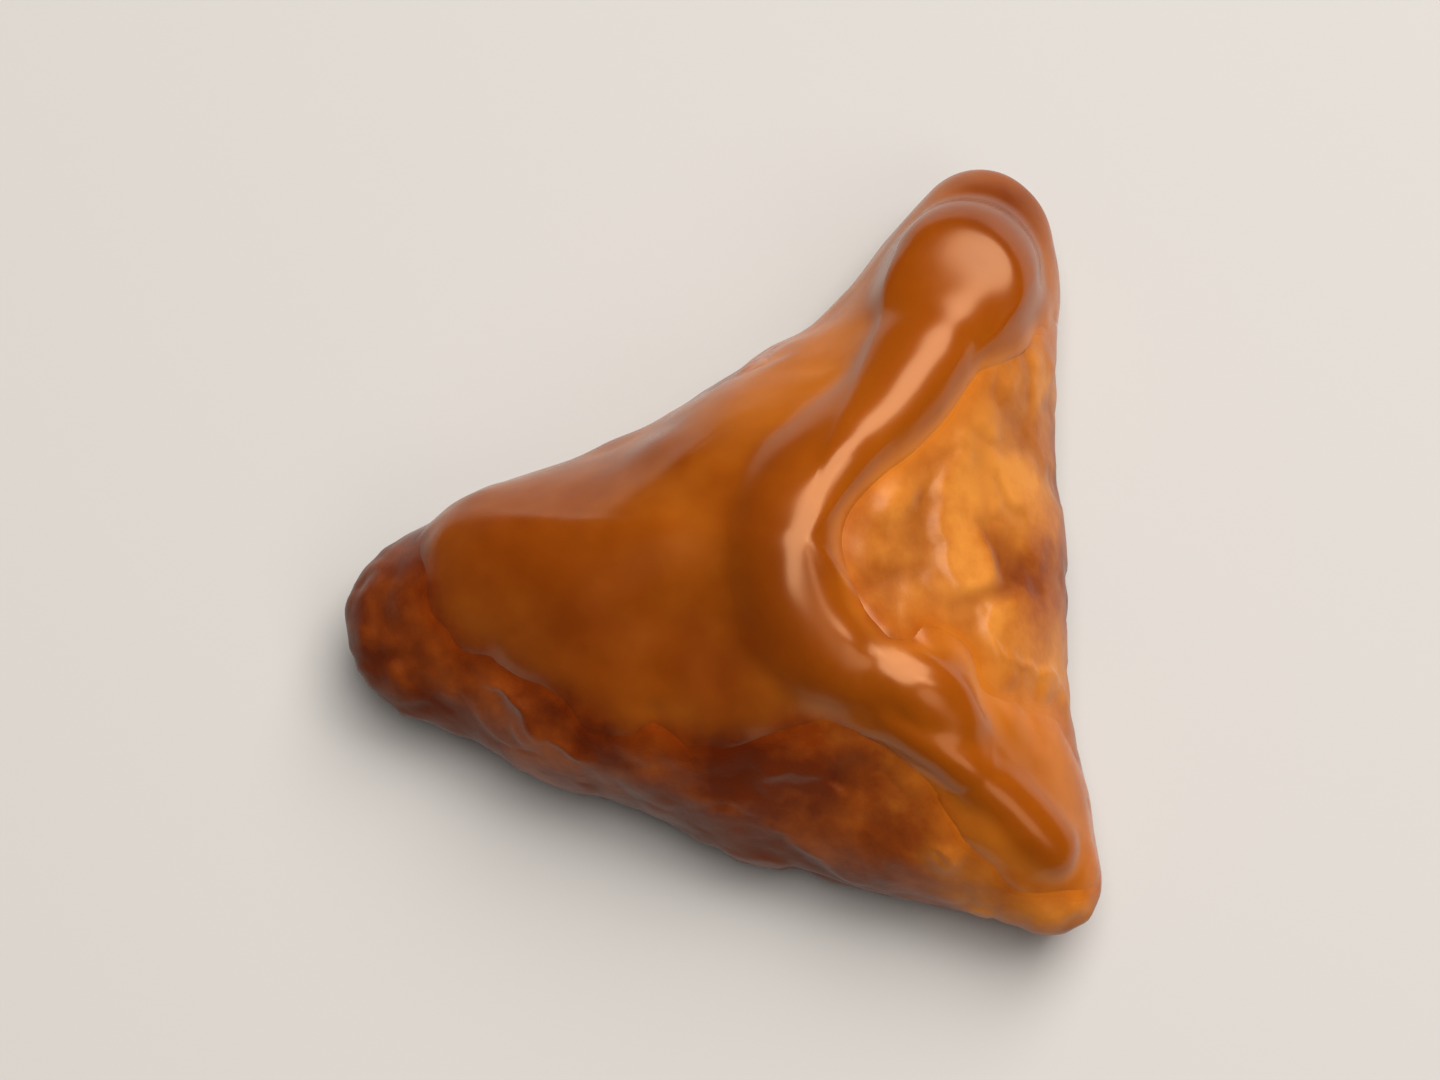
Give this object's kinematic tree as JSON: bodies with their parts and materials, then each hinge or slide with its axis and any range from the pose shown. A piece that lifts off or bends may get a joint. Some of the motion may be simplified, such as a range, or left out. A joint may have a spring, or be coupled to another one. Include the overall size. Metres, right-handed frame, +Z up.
{
  "type": "semolina triangle",
  "caption": "Three-cornered fried semolina pastry, puffed in the middle and pinched at its points, with caramel poured over its top.",
  "frame": {"origin": "the middle of the box round the pastry, at the level of the table it rests on", "axes": "+Z up out of the table; +Y towards the blunt corner with the caramel drop; +X towards the side between the two right-hand corners"},
  "size_m": [0.0516, 0.0542, 0.0208],
  "materials": {
    "crust": "fried dough, golden brown and blistered, with a thin set glaze",
    "caramel": "poured caramel, smooth, glossy and slightly clear"
  },
  "bodies": {
    "root": {"semolina_triangle": "crust"}
  },
  "joints": []
}
